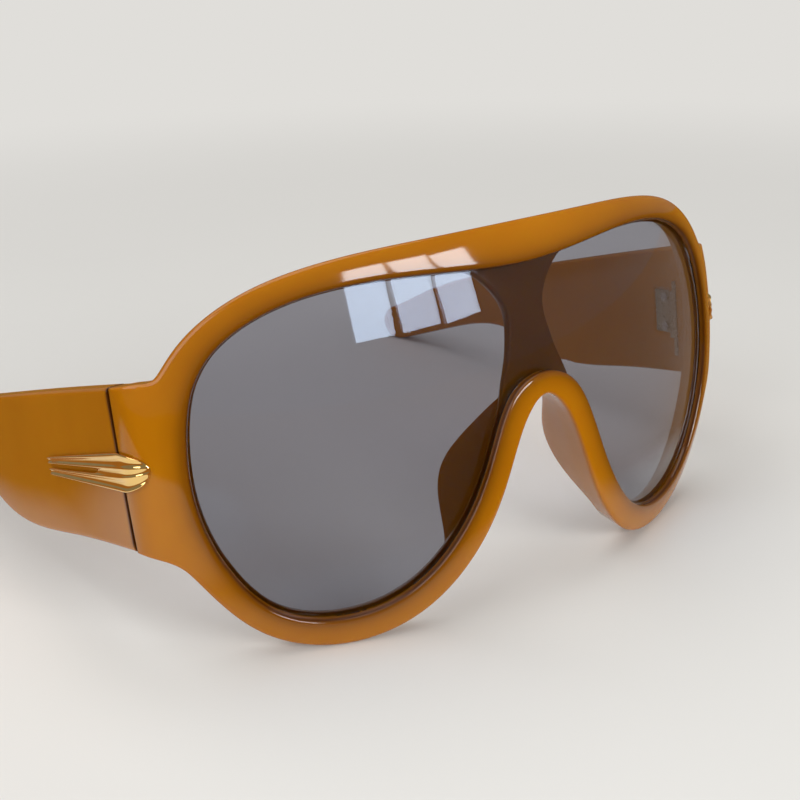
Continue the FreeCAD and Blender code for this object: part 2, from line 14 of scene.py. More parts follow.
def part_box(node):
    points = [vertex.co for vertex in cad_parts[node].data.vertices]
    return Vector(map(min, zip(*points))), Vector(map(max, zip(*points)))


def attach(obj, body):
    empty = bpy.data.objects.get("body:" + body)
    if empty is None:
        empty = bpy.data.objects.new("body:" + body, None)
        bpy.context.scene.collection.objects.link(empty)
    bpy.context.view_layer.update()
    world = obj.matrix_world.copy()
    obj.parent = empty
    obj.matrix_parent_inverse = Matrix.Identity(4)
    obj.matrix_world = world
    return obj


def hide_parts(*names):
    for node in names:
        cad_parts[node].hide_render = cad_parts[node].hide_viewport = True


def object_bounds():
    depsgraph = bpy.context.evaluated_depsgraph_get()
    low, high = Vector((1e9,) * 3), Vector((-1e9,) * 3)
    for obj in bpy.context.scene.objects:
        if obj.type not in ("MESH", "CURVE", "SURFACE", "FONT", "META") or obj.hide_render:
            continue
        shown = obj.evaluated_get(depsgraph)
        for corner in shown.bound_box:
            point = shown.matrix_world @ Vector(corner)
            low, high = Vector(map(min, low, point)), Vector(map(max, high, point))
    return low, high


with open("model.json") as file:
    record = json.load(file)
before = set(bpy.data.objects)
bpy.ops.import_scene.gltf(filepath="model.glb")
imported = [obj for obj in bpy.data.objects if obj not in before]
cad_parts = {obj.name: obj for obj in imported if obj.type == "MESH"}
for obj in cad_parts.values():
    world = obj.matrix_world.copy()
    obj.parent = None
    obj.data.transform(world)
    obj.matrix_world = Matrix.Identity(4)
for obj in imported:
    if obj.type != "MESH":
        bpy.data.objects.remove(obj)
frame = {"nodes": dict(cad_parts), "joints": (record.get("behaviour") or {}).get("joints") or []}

bl_info = {
    "name": "Oversized shield sunglasses",
    "version": (1, 0, 0),
    "blender": (4, 5, 0),
    "location": "View3D > Sidebar > Sunglasses",
    "description": "Dresses the packed sunglasses and sets them up for a studio picture",
    "category": "Object",
}

cad_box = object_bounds()
mm = 0.001
SIDES = (("left", False), ("right", True))      # each side, and whether it mirrors the left one

# Sizes are in millimetres up to the soft lights, which are in metres

# Half outline of the lens window, from the top centre round to the nose arch, as
# (x as a share of the end pieces' half width, z, width of the rim outside this point)
WINDOW = (
    (0.0, 32.9, 7.7), (0.2603, 34.0, 6.3), (0.5, 34.1, 4.9), (0.6904, 30.8, 4.6),
    (0.8233, 23.7, 4.9), (0.8836, 11.5, 6.5), (0.8836, -2.9, 6.8), (0.8205, -16.4, 5.0),
    (0.7123, -25.9, 5.1), (0.5712, -28.8, 6.2), (0.4192, -26.2, 6.2), (0.3041, -18.7, 5.75),
    (0.2164, -8.2, 5.2), (0.1562, 2.8, 5.1), (0.0904, 10.5, 5.35), (0.0, 12.8, 4.5),
)
DRAFT_START = 9             # outline point from which the nose arch widens towards the back
DRAFT_SPAN = 3              # outline points over which that widening grows
TOP_CORNER = 4.3            # place on the outline where the end piece's top edge leaves the rim
BOTTOM_CORNER = 6.72        # the same for its bottom edge
PAD_START = 10.1            # places on the outline between which the nose pad reaches back
PAD_END = 14.55
UPPER_COUNT = 19            # cross-sections of the rim from the top centre to the end piece
LOWER_COUNT = 25            # and from the end piece to the nose arch
MIDDLE_STEPS = 6            # steps across the rim's front and rear faces
ARC = (1.0, 0.29, 0.0)      # places on a rounded edge, as shares of its radius
GROOVE_POINTS = 3           # first points of a cross-section, in the lens groove
REAR_POINTS = 3             # its last points, from the rear face in to the groove
SEAM_ROUNDS = 8             # rounds in which the place of the seam on the face settles
SEAM_STEPS = 7              # steps down the seam
NEXT = 0.01                 # from a place on the outline to the next, for its direction

# Top and bottom edge of the end piece, as (share of the edge that its rounding into the rim takes,
# how level that rounding ends, which way is inwards)
END_EDGES = ((0.46, 1.0, -1.0), (0.88, 0.5, 1.0))
HANDLE = 0.4                        # reach of the rounding's handles, as a share of its radius
ROUND_SHARES = (0.3, 0.6, 0.9)      # change of the edge's own rounding, step by step
EDGE_SHARES = (0.0, 0.5, 0.88)      # steps along the rest of the edge

# Rear edge of the nose pads seen from the side, as (y, z)
PAD_EDGE = ((4.8, 10.6), (9.0, 4.8), (14.0, -1.5), (17.1, -8.5), (14.2, -16.0), (7.4, -22.5))
PAD_LINE_STEPS = 60         # steps along this edge
PAD_STEPS = 4               # steps in which a nose pad is drawn back
PAD_ROUNDS = 6              # rounds in which its reach settles
PAD_ROWS = 5                # rows of the rim's rear edge that it grows from
LEAST_PAD = 0.2             # its least reach

# Rear bridge behind the lens, from the nose arch up, as (share of the end pieces' half width, z)
BRIDGE = ((0.1315, 8.6), (0.0849, 15.5), (0.0575, 24.0), (0.0904, 30.6))
BRIDGE_HALF = 3             # cross-sections of the rim that it takes up on each side
BRIDGE_CUTS = 5             # loops of vertices between its ends

SEAT_OVERLAP = 0.75         # how far a hinge seat is sunk into the end piece
SEAT_ROUND = 0.5            # rounding of its edges

# Temple seen from the side, as (distance behind the seam, height)
TEMPLE_TOP = ((25.0, 16.5), (50.0, 12.3), (80.0, 7.0), (105.0, 1.2))
TEMPLE_BOTTOM = ((25.0, -13.1), (55.0, -15.3), (66.0, -12.8), (77.0, -9.4), (88.0, -9.2), (104.0, -12.4))
LINE_STEPS = 200            # steps along each of these lines
SEAM_LIP = 0.3              # narrow strip of the temple next to the seam
TOUCH = 0.01                # distance within which a point counts as on that strip's edge
BODY_COLUMNS = 24           # columns of the temple from its hinge leaf to its tip
TIP_COLUMNS = 2             # columns of the round tip
TEMPLE_ROWS = 10            # rows across the temple
LEAF_ROWS = (3, 7)          # rows that border the recess for the hinge leaf
EDGE_ROOM = 1.5             # room for the rounding of an edge, as a share of its radius

# Flutes of a plaque from its slot outwards, as (share of the half height, share of the thickness)
FLUTES = ((0.0, 0.5), (0.14, 1.0), (0.36, 0.25), (0.62, 0.3), (0.86, 1.0), (1.0, 0.35))
HEAD_COLUMNS = 5            # columns of the round head
TAIL_COLUMNS = 9            # and of the split tail
HEAD_SPLIT = 0.1            # half distance of the two middle rows in the head, as a share
HEAD_FALL = 0.75            # fall of the head towards its edge, as a share of the thickness

FACING = 0.9                # least part of a face's normal along X for a face that points along X

# Soft lights, as (place from the point that they face, size)
FRONT_PANE = ((0.18, -1.1, 0.42), (0.2, 0.34))
OVERHEAD = ((-0.2, 0.3, 1.3), (1.4, 1.4))
SIDE_BOX = ((-1.1, -0.2, 0.6), (0.7, 0.9))
PANES = 3                   # panes of light side by side
PANE_STEP = 0.23            # from one pane to the next
PANE_TINT = (0.95, 0.98, 1.0)
AIM = Vector((0, cad_box[0][1] + 0.01, 0.05))   # middle of the front, which the lights face
CLIP_START = 0.01           # nearest that the camera sees

WORN = 0.92                 # brightness of worn metal, as a share
WORN_ROUGHNESS = (0.7, 1.4)     # range of its roughness, as shares
FLOOR_FLECKS = 0.98         # brightness of the floor's darker flecks, as a share
NOISE_DETAIL = 3.0
NOISE_RANGE = (0.3, 0.7)    # between which most of the noise lies


def linear(red, green, blue):
    """Scene colour of a screen colour given from 0 to 255."""
    found = []
    for value in (red, green, blue):
        share = value / 255
        found.append(share / 12.92 if share <= 0.04045 else ((share + 0.055) / 1.055) ** 2.4)
    return tuple(found)


def number(name, description, value, **kind):
    """Property that holds a number."""
    return FloatProperty(name=name, description=description, default=value, **kind)


def length(name, description, millimetres):
    """Property that holds a size."""
    return number(name, description, millimetres * mm, unit="LENGTH", precision=5)


def turn(name, description, degrees):
    """Property that holds an angle."""
    return number(name, description, math.radians(degrees), subtype="ANGLE")


def power(name, description, watts):
    """Property that holds a lamp's power."""
    return number(name, description, watts, unit="POWER")


def spot(name, description, value):
    """Property that holds a place."""
    return FloatVectorProperty(name=name, description=description, default=value,
                               subtype="TRANSLATION", precision=5)


def colour(name, description, value):
    """Property that holds a colour."""
    return FloatVectorProperty(name=name, description=description, default=value, size=3,
                               subtype="COLOR", min=0.0, max=1.0)


class FrontSettings(PropertyGroup):
    """Sizes of the front moulding."""

    radius: length("Front radius", "Sphere that the front face follows", 115.5)
    depth: length("Rim depth", "Rim, front to back", 6.2)
    edge_round: length("Edge rounding", "Rounding of the rim's outer front edge", 0.8)
    end_round: length("End rounding", "Rounding of the end piece's edges at the seam", 0.4)
    window_round: length("Window rounding", "Rounding of the front edge around the lens", 0.65)
    back_round: length("Back rounding", "Rounding of the rim's rear edges", 0.8)
    end_back: length("End back rounding", "Rounding of the end piece's rear edges at the seam", 1.0)
    crown: length("Crown", "Height of the swell across the rim's front face", 0.08)
    rear_lip: length("Rear lip", "Rear wall of the lens groove inside the window", 0.1)
    rear_flare: length("Rear flare", "Widening of the window behind the lens", 1.6)
    # Width of the painted shade, darker amber fading out from the lens edge where the rim curves in
    painted_shade_reach: length("Painted shade reach", "Width of the deeper amber beside the lens", 2.1)
    lens_recess: length("Lens recess", "Front face of the rim to the lens", 1.7)
    lens_thickness: length("Lens thickness", "Lens, front to back", 2.0)
    lens_overlap: length("Lens overlap", "Lens edge held inside the rim", 0.8)
    groove_room: length("Groove room", "Clearance around the lens edge", 0.1)
    half_width: length("Half width", "Centre plane to the end piece where its bend ends", 73.0)
    end_length: length("End length", "From the bend to the hinge seam", 2.0)
    end_top: length("End top", "Top edge of the end piece", 20.4)
    end_rise: length("End rise", "Rise of its top edge from the seam to the rim", 1.0)
    end_bottom: length("End bottom", "Bottom edge of the end piece", -10.6)
    end_thickness: length("End thickness", "Wall of the end piece", 4.6)
    bend: length("Bend", "Bend from the front face to the end piece", 6.0)
    top_corner: length("Top corner", "Rounding between the end piece's top edge and the rim", 5.0)
    bottom_corner: length("Bottom corner", "The same for its bottom edge", 8.0)
    seam_gap: length("Seam gap", "Gap between end piece and temple", 0.4)
    seam_round: length("Seam rounding", "Rounding of the edges at the seam", 0.3)
    splay: turn("Splay", "Opening angle of the temples", 6.0)
    seam_lean: turn("Seam lean", "Lean of the seam against the front's upright", 3.7)
    nose_draft: turn("Nose draft", "Widening of the nose arch towards the back", 10.5)


class TempleSettings(PropertyGroup):
    """Sizes of the temples and of the hinge seats."""

    thickness: length("Thickness", "Wall of the temple", 4.2)
    straight: length("Straight", "Straight length before the temple curves in", 50.0)
    curve: length("Curve radius", "Radius of the inward curve", 208.0)
    tip_setback: length("Tip setback", "Seam to the centre of the round tip", 123.0)
    tip_radius: length("Tip radius", "Radius of the round tip", 5.5)
    edge_round: length("Edge rounding", "Rounding of the long edges", 0.9)
    hinge_height: length("Hinge height", "Middle of the hinge above the front's pole", 4.0)
    axis_inset: length("Axis inset", "Outer face to the hinge axis", 6.15)
    axis_setback: length("Axis setback", "Seam to the hinge axis", 0.75)
    leaf_length: length("Leaf length", "Reach of the hinge leaf into the temple", 10.1)
    leaf_half: length("Leaf half height", "Half height of the recess for the leaf", 5.26)
    leaf_depth: length("Leaf depth", "Depth of the recess for the leaf", 1.04)
    seat_setback: length("Seat setback", "Seam to the seat of the front leaf", 2.0)
    seat_depth: length("Seat depth", "Thickness of the seat", 3.4)
    seat_width: length("Seat width", "Width of the seat behind the end piece", 4.75)
    seat_half: length("Seat half height", "Half height of the seat", 9.65)


class TrimSettings(PropertyGroup):
    """Sizes of the gold plaques."""

    standoff: length("Standoff", "Clearance over the temple and end piece", 0.2)
    thickness: length("Thickness", "Thickness of the plaque", 0.9)
    reach: length("Reach", "Ahead of the seam", 7.6)
    tail: length("Tail", "Behind the seam", 31.0)
    head_half: length("Head half height", "Half height at the seam", 3.7)
    tail_half: length("Tail half height", "Half height at the end of the tails", 1.8)
    height: length("Height", "Middle of the plaque at the seam", 5.0)
    slope: turn("Slope", "Slope in line with the temple", -7.8)
    split: length("Split", "Length of the slot between the tails", 22.0)
    split_half: length("Split half width", "Half width of the slot", 0.45)


class FinishSettings(PropertyGroup):
    """Colours of the finishes."""

    amber: colour("Amber", "Main colour of the plastic", linear(164, 99, 3))
    amber_light: colour("Light amber", "Paler flow in the plastic", linear(174, 108, 6))
    # Painted shade: darker amber laid beside the lens and on the seam faces, where shade falls
    amber_painted_shade: colour("Painted shade amber", "Plastic beside the lens and at the seam", linear(70, 32, 2))
    lens_top: colour("Lens top", "Tint at the top of the lens", linear(158, 157, 166))
    lens_bottom: colour("Lens bottom", "Tint at the bottom of the lens", linear(140, 140, 148))
    lens_mirror: colour("Lens mirror", "Tint of what the lens mirrors", linear(159, 175, 194))
    gold: colour("Gold", "Polished trim", linear(255, 214, 136))
    nickel: colour("Nickel", "Hinge leaves", linear(158, 150, 136))
    steel: colour("Steel", "Screws", linear(176, 178, 180))


class StageSettings(PropertyGroup):
    """Camera, floor and lights."""

    camera_place: spot("Camera place", "Where the camera stands", (-0.1427, -0.23964, 0.12907))
    camera_turn: FloatVectorProperty(
        name="Camera turn", description="How the camera is turned", subtype="EULER",
        default=tuple(math.radians(angle) for angle in (68.243, 2.048, -34.806)))
    focal: number("Focal length", "Lens of the camera", 55.35, subtype="DISTANCE_CAMERA")
    floor: colour("Floor", "Pale floor and background", linear(224, 222, 218))
    floor_reach: length("Floor reach", "Radius of the floor", 6000.0)
    floor_near: length("Floor near", "Where the floor starts to fade into plain colour", 180.0)
    floor_far: length("Floor far", "Where the floor is all plain colour", 650.0)
    bright_place: spot("Bright place", "Middle of the floor beside the temple that mirrors brightly",
                       (-0.175, -0.055, 0.0))
    bright_near: length("Bright near", "Where mirrored floor starts to dim", 90.0)
    bright_far: length("Bright far", "Where mirrored floor is dimmest", 110.0)
    # Painted reflection: warm glow that the floor shows only in reflections, away from the object and
    # the temple
    dim: colour("Dim floor", "Mirrored floor further off, warm and dimmer", linear(151, 107, 53))
    pane_power: power("Pane power", "Light of each pane in front", 3.6)
    top_power: power("Top power", "Light of the overhead soft box", 12.0)
    fill_power: power("Fill power", "Light of the side soft box", 5.5)
    ambient: number("Ambient", "Light from all round", 0.3)


@dataclass
class Section:
    """One cross-section of the rim.

    The window is (x, z) seen from the front, and the edge is (distance along the plan, z).
    """

    window: Vector
    normal: Vector
    edge: Vector
    inset: Vector
    rounding: float
    back_inset: Vector
    back: float
    draft: float
    place: float
    at_seam: bool
    corner: bool


@dataclass
class EdgeStep:
    """One step of the outer edge round an end piece."""

    place: Vector
    inset: Vector
    rounding: float
    back_inset: Vector = None
    back: float = None
    at_seam: bool = False
    corner: bool = False


def smooth_through(points, places, closed=False):
    """Points of the smooth curve through given points, at places counted along them."""
    knots = np.array(points, float)
    if closed:
        knots = np.vstack([knots, knots[:1]])
    spans = np.linalg.norm(np.diff(knots, axis=0), axis=1)
    slopes = np.diff(knots, axis=0) / spans[:, None]
    count = len(knots)
    system = np.eye(count)
    change = np.zeros_like(knots)
    for i in range(1, count - 1):
        system[i, i - 1:i + 2] = spans[i - 1], 2 * (spans[i - 1] + spans[i]), spans[i]
        change[i] = 6 * (slopes[i] - slopes[i - 1])
    if closed:
        system[0, -1] = -1
        system[-1, [0, 1, -2, -1]] = 2 * (spans[-1] + spans[0]), spans[0], spans[-1], 0
        change[-1] = 6 * (slopes[0] - slopes[-1])
    bends = np.linalg.solve(system, change)
    found = []
    for place in places:
        wrapped = place % (count - 1) if closed else place
        i = min(int(wrapped), count - 2)
        far = wrapped - i
        near = 1 - far
        lift = (near ** 3 - near) * bends[i] + (far ** 3 - far) * bends[i + 1]
        found.append(near * knots[i] + far * knots[i + 1] + lift * spans[i] ** 2 / 6)
    return np.array(found)


def even_places(points, start, end, count):
    """Places between two others, evenly spaced in length along the points."""
    steps = np.linalg.norm(np.diff(np.array(points, float), axis=0), axis=1)
    lengths = np.concatenate([[0.0], np.cumsum(steps)])
    index = np.arange(len(points))
    ends = np.interp([start, end], index, lengths)
    return np.interp(np.linspace(ends[0], ends[1], count), lengths, index)


class FrontFace:
    """The front's outer face, laid out by distance along its plan and height."""

    def __init__(self, front):
        self.front = front
        self.turn = math.asin((front.half_width - math.cos(front.splay) * front.bend)
                              / (front.radius - front.bend))
        self.bend_start = front.radius * self.turn
        self.bend_angle = math.pi / 2 - front.splay - self.turn
        self.bend_end = self.bend_start + front.bend * self.bend_angle
        self.seam = self.bend_end + front.end_length
        x, y, _ = self.plan(self.seam)
        self.seam_frame = (Matrix.Translation((x, y, 0))
                           @ Matrix.Rotation(-front.seam_lean, 4, "X")
                           @ Matrix.Rotation(-front.splay, 4, "Z"))

    def plan(self, along):
        """Plan point and angle of the face at a distance from the centre plane."""
        front = self.front
        if along < self.bend_start:
            angle = along / front.radius
            return front.radius * math.sin(angle), front.radius * (1 - math.cos(angle)), angle
        reach = front.radius - front.bend
        bent = min(along, self.bend_end) - self.bend_start
        angle = self.turn + bent / front.bend
        x = reach * math.sin(self.turn) + front.bend * math.sin(angle)
        y = front.radius - reach * math.cos(self.turn) - front.bend * math.cos(angle)
        straight = max(along - self.bend_end, 0.0)
        return x + straight * math.sin(front.splay), y + straight * math.cos(front.splay), angle

    def point(self, along, height, depth=0.0):
        """Point at a depth under the face."""
        x, y, angle = self.plan(abs(along))
        arm = self.front.radius - y
        swing = math.asin(height / arm)
        bent = (abs(along) - self.bend_start) / (self.bend_end - self.bend_start)
        thinner = 1 - self.front.end_thickness / self.front.depth
        sunk = depth * (1 - thinner * min(max(bent, 0.0), 1.0))
        radial = arm - sunk * math.cos(angle)
        side = math.copysign(1.0, along)
        return Vector((side * (x - sunk * math.sin(angle)),
                       self.front.radius - radial * math.cos(swing), radial * math.sin(swing)))

    def spread(self, x, z):
        """Place on the face of a point seen from the front."""
        return Vector((self.front.radius * math.asin(x / self.front.radius), z))

    def seam_at(self, height):
        """Distance along the plan at which the face meets the hinge seam at a height."""
        back = self.seam_frame.inverted()
        along = self.seam
        for _ in range(SEAM_ROUNDS):
            along -= (back @ self.point(along, height)).y + self.front.seam_gap / 2
        return along


def temple_to_row(context):
    """Place of the left temple's frame: X outwards, Y along the temple, Z along the hinge axis."""
    temple = context.scene.sunglasses_temple
    joint = next(j for j in frame["joints"] if j["child"] == "left_temple")
    axis = Vector(joint["axis"])
    tilt = math.atan2(axis.y, axis.z)
    pin = Vector((-temple.axis_inset, temple.axis_setback, temple.hinge_height))
    return (Matrix.Translation(joint["pos_m"]) @ Matrix.Rotation(-tilt, 4, "X")
            @ Matrix.Rotation(-context.scene.sunglasses_front.splay, 4, "Z")
            @ Matrix.Translation(-pin))


def front_to_row(context):
    """Place of the front's own frame, whose origin is the pole of its face."""
    face = FrontFace(context.scene.sunglasses_front)
    return temple_to_row(context) @ face.seam_frame.inverted()


def new_object(name, data):
    """New object in the scene."""
    made = bpy.data.objects.new(name, data)
    bpy.context.scene.collection.objects.link(made)
    return made


def mesh_object(name, bm, material):
    """New object with a modelled mesh and its finish."""
    mesh = bpy.data.meshes.new(name)
    bm.to_mesh(mesh)
    bm.free()
    mesh.materials.append(material)
    return new_object(name, mesh)


def keep_piece(name, bm, matrix, material, body, nodes=(), levels=2, mirror=False):
    """Finish a piece: place it, turn its faces outwards, and make it ride on a body."""
    bmesh.ops.transform(bm, matrix=matrix, verts=bm.verts)
    if mirror:
        bmesh.ops.scale(bm, vec=(-1, 1, 1), verts=bm.verts)
    bmesh.ops.recalc_face_normals(bm, faces=bm.faces)
    for face in bm.faces:
        face.smooth = True
    piece = mesh_object(name, bm, material)
    if levels:
        smooth = piece.modifiers.new("Smooth", "SUBSURF")
        smooth.levels = levels
        smooth.render_levels = levels
    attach(piece, body)
    if nodes:
        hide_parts(*nodes)


def empty_mesh():
    """Mesh to model in, ready for creases and for the painted shade beside the lens and in the seam gap.
    """
    bm = bmesh.new()
    bm.edges.layers.float.new("crease_edge")
    bm.verts.layers.float.new("painted_shade_share")
    return bm


def crease(bm, edges):
    """Keep edges sharp under the subdivision."""
    layer = bm.edges.layers.float["crease_edge"]
    for edge in edges:
        edge[layer] = 1.0


def mapped_grid(columns, rows, place):
    """Grid whose points are put by their column and row."""
    bm = empty_mesh()
    bmesh.ops.create_grid(bm, x_segments=columns, y_segments=rows, size=0.5)
    for vert in bm.verts:
        column = round((vert.co.x + 0.5) * columns)
        row = round((vert.co.y + 0.5) * rows)
        vert.co = place(column, row)
    return bm


def round_end(share, across, reach, half_height):
    """Point of a rounded end, from its straight start at share 0 to its outline at share 1."""
    spread = math.radians(90 - 45 * share)      # from a quarter turn to half of one
    angle = spread * across
    along = math.cos(spread) + share * (math.cos(angle) - math.cos(spread))
    return reach * along, half_height * math.sin(angle)


def only_verts(geometry):
    """Vertices among other geometry."""
    return [g for g in geometry if isinstance(g, bmesh.types.BMVert)]


def outline_edges(faces):
    """Edges round a region of faces."""
    edges = dict.fromkeys(e for f in faces for e in f.edges)
    return [e for e in edges if sum(f in faces for f in e.link_faces) == 1]


def drawn_out(bm, faces):
    """Faces and vertices of a region drawn out of a closed piece."""
    grown = bmesh.ops.extrude_face_region(bm, geom=faces)["geom"]
    bmesh.ops.delete(bm, geom=faces, context="FACES")
    return [g for g in grown if isinstance(g, bmesh.types.BMFace)], only_verts(grown)


# Front frame


def end_path(face, start, start_way, finish, finish_way):
    """Steps of the outer edge round the left end piece, from the rim back to the rim."""
    front = face.front
    top = Vector((face.seam_at(front.end_top), front.end_top))
    bottom = Vector((face.seam_at(front.end_bottom), front.end_bottom))
    rims = ((start, start_way, top, front.top_corner, front.end_rise),
            (finish, -finish_way, bottom, front.bottom_corner, 0.0))
    sides = []
    for (knot, way, corner, radius, rise), (reach, level, inward) in zip(rims, END_EDGES):
        tip = Vector((knot.x + (corner.x - knot.x) * reach, corner.y + rise))
        handle = radius * HANDLE
        bend = knot + way * handle
        aim = (bend - tip).normalized().lerp(Vector((-1, 0)), level).normalized()
        curve = interpolate_bezier(knot.to_3d(), bend.to_3d(), (tip + aim * handle).to_3d(), tip.to_3d(),
                                   len(ROUND_SHARES) + 2)
        steps = []
        for place, share in zip(curve[1:-1], ROUND_SHARES):
            rounding = front.edge_round + (front.end_round - front.edge_round) * share
            steps.append(EdgeStep(place.to_2d(), None, rounding))
        inset = Vector((0, inward * front.end_round))
        back_inset = Vector((0, inward * front.end_back))
        for share in EDGE_SHARES:
            steps.append(EdgeStep(tip.lerp(corner, share), inset, front.end_round,
                                  back_inset, front.end_back))
        seam = Vector((-front.seam_round, 0))
        steps.append(EdgeStep(corner, seam + inset, front.end_round, seam + back_inset, front.end_back,
                              at_seam=True, corner=True))
        sides.append(steps)
    before, after = sides
    for z in np.linspace(front.end_top - front.end_back, front.end_bottom + front.end_back, SEAM_STEPS):
        before.append(EdgeStep(Vector((face.seam_at(z), z)), seam, front.seam_round,
                               seam, front.seam_round, at_seam=True))
    return before + after[::-1]


def half_sections(face):
    """Cross-sections of the rim from the top centre round the left side to the nose arch."""
    front = face.front
    half = [(share * front.half_width, z * mm) for share, z, _ in WINDOW]
    loop = half + [(-x, z) for x, z in half[-2:0:-1]]
    widths = [width * mm for _, _, width in WINDOW]
    widths = widths + widths[-2:0:-1]

    def normals_at(places, step=0.001):
        ways = smooth_through(loop, places + step, True) - smooth_through(loop, places - step, True)
        ways /= np.linalg.norm(ways, axis=1)[:, None]
        return np.stack([-ways[:, 1], ways[:, 0]], axis=1)

    every = np.arange(len(loop), dtype=float)
    rim = np.array(loop) + normals_at(every) * np.array(widths)[:, None]
    upper = even_places(half, 0.0, TOP_CORNER, UPPER_COUNT)
    lower = even_places(half, BOTTOM_CORNER, len(half) - 1, LOWER_COUNT)

    def edge_at(places):
        return [face.spread(*point) for point in smooth_through(rim, places, True)]

    ends = []
    for corner in (TOP_CORNER, BOTTOM_CORNER):
        here, ahead = edge_at(np.array([corner, corner + NEXT]))
        ends += [here, (ahead - here).normalized()]
    path = end_path(face, *ends)
    side = even_places(half, TOP_CORNER, BOTTOM_CORNER, len(path) + 2)[1:-1]
    places = np.concatenate([upper, side, lower])
    edges = edge_at(upper) + [step.place for step in path] + edge_at(lower)
    given = [None] * len(upper) + path + [None] * len(lower)
    windows = smooth_through(loop, places, True)
    normals = normals_at(places)
    sections = []
    for i, place in enumerate(places):
        before = edges[max(i - 1, 0)]
        after = edges[min(i + 1, len(edges) - 1)]
        way = (after - before).normalized()
        inwards = Vector((way.y, -way.x))
        step = given[i] or EdgeStep(edges[i], None, front.edge_round)
        share = min(max((place - DRAFT_START) / DRAFT_SPAN, 0.0), 1.0)
        sections.append(Section(
            window=Vector(windows[i]), normal=Vector(normals[i]), edge=edges[i],
            inset=step.inset or inwards * step.rounding, rounding=step.rounding,
            back_inset=step.back_inset or inwards * front.back_round, back=step.back or front.back_round,
            draft=share * math.tan(front.nose_draft), place=place,
            at_seam=step.at_seam, corner=step.corner))
    return sections


def mirrored_section(section):
    """The same cross-section on the other side of the centre plane."""
    across = Vector((-1, 1))
    names = ("window", "normal", "edge", "inset", "back_inset")
    return replace(section, **{name: getattr(section, name) * across for name in names})


def section_points(face, section):
    """Outline of a cross-section, from the lens groove round, as (along the plan, height, depth)."""
    front = face.front

    def beside(offset):
        return face.spread(*(section.window + section.normal * offset))

    def side_wall(depth):
        return section.edge - section.normal * section.draft * depth

    lens_front = front.lens_recess - front.groove_room
    lens_back = front.lens_recess + front.lens_thickness + front.groove_room
    groove = front.lens_overlap + front.groove_room
    shape = front.window_round
    points = [(beside(groove), lens_back), (beside(groove), lens_front), (beside(0.0), lens_front)]
    for inwards, downwards in zip(reversed(ARC), ARC):
        points.append((beside(shape * inwards), shape * downwards))
    inner = beside(shape)
    outer = section.edge + section.inset
    for step in range(1, MIDDLE_STEPS):
        share = step / MIDDLE_STEPS
        rise = front.crown * 4 * share * (1 - share)
        points.append((inner.lerp(outer, share), -rise))
    for inwards, downwards in zip(ARC, reversed(ARC)):
        points.append((section.edge + section.inset * inwards, section.rounding * downwards))
    points.append((side_wall(front.depth / 2), front.depth / 2))
    for inwards, downwards in zip(reversed(ARC), ARC):
        depth = front.depth - section.back * downwards
        points.append((side_wall(depth) + section.back_inset * inwards, depth))
    rear_edge = points[-1][0]
    rear_inner = beside(front.rear_flare)
    for step in range(1, MIDDLE_STEPS):
        points.append((rear_edge.lerp(rear_inner, step / MIDDLE_STEPS), front.depth))
    points.append((rear_inner, front.depth))
    points.append((beside(front.rear_flare / 3), (front.depth + lens_back) / 2))
    points.append((beside(-front.rear_lip), lens_back))
    return [(place.x, place.y, depth) for place, depth in points]


def next_loop(verts, fresh):
    """New vertices in the order of the ones that they were extruded from."""
    fresh = set(fresh)
    return [next(e.other_vert(v) for e in v.link_edges if e.other_vert(v) in fresh) for v in verts]


def edge_between(a, b):
    """Edge that joins two vertices."""
    return next(e for e in a.link_edges if e.other_vert(a) is b)


def loop_edges(verts):
    """Edges of a closed loop of vertices."""
    return [edge_between(a, b) for a, b in zip(verts, verts[1:] + verts[:1])]


def rim_ring(face, sections):
    """Rim and end pieces as one closed ring, with its loops of vertices."""
    bm = empty_mesh()
    station = bm.verts.layers.int.new("station")
    depth_layer = bm.verts.layers.float.new("depth")
    tone = bm.verts.layers.float["painted_shade_share"]
    outlines = [section_points(face, section) for section in sections]
    outer = GROOVE_POINTS + len(ARC) + MIDDLE_STEPS - 1
    wall = range(outer + 1, outer + len(ARC) + 2)

    def put(verts, row):
        for i, vert in enumerate(verts):
            along, height, depth = outlines[i][row]
            vert.co = face.point(along, height, depth)
            vert[station] = i
            vert[depth_layer] = depth
            # Painted shade: darker amber fading out from the lens edge, and full on the seam's wall
            # faces where shade falls in the gap
            away = (vert.co - face.point(*outlines[i][GROOVE_POINTS])).length
            cut = 1.0 if sections[i].at_seam and row in wall else 0.0
            vert[tone] = max(math.exp(-away / face.front.painted_shade_reach), cut)

    first = [bm.verts.new() for _ in sections]
    for a, b in zip(first, first[1:] + first[:1]):
        bm.edges.new((a, b))
    put(first, 0)
    loops = [first]
    for row in range(1, len(outlines[0])):
        fresh = bmesh.ops.extrude_edge_only(bm, edges=loop_edges(loops[-1]))["geom"]
        verts = next_loop(loops[-1], only_verts(fresh))
        put(verts, row)
        loops.append(verts)
    bmesh.ops.bridge_loops(bm, edges=loop_edges(loops[0]) + loop_edges(loops[-1]))
    crease(bm, [e for row in (0, 1, 2, -1) for e in loop_edges(loops[row])])
    for i, section in enumerate(sections):
        if section.corner:
            run = [loop[i] for loop in loops[outer:outer + 2 * len(ARC) + 1]]
            crease(bm, [edge_between(a, b) for a, b in zip(run, run[1:])])
    return bm, loops


def quad(a, b, c, d):
    """Face between four vertices."""
    return next(f for f in a.link_faces if b in f.verts and c in f.verts and d in f.verts)


def strip(loops, rows, stations):
    """Faces between rows of loops, over a run of neighbouring stations."""
    count = len(loops[0])
    faces = []
    for near, far in zip(rows, rows[1:]):
        for a, b in zip(stations, stations[1:]):
            faces.append(quad(loops[near][a % count], loops[near][b % count],
                              loops[far][a % count], loops[far][b % count]))
    return faces


